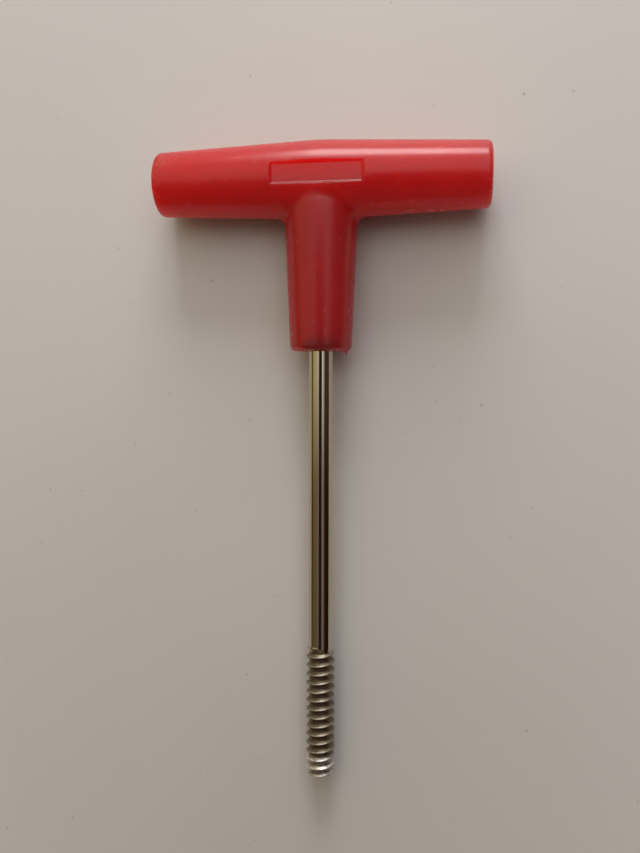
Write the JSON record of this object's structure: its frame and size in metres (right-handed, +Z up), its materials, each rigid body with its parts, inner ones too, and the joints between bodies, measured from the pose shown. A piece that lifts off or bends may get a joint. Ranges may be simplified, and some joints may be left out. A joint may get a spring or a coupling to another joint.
{
  "type": "t-handle spiral rasp",
  "caption": "Hand tool: red moulded T-handle with a tapered stem on a straight plated steel shank that ends in a coarse rounded right-hand spiral.",
  "frame": {"origin": "on the table, under the middle of the tool's outline as it lies at rest", "axes": "+Z up from the table, +X along the crossbar, +Y from the spiral tip towards the crossbar; the shank dips 2.3 degrees towards the tip"},
  "size_m": [0.0814, 0.1571, 0.0185],
  "materials": {
    "handle_plastic": "semi-gloss moulded red, lightly scuffed",
    "plated_steel": "polished plated rod, duller worn crests on the spiral"
  },
  "bodies": {
    "root": {"handle": "handle_plastic", "shank": "plated_steel"}
  },
  "joints": []
}
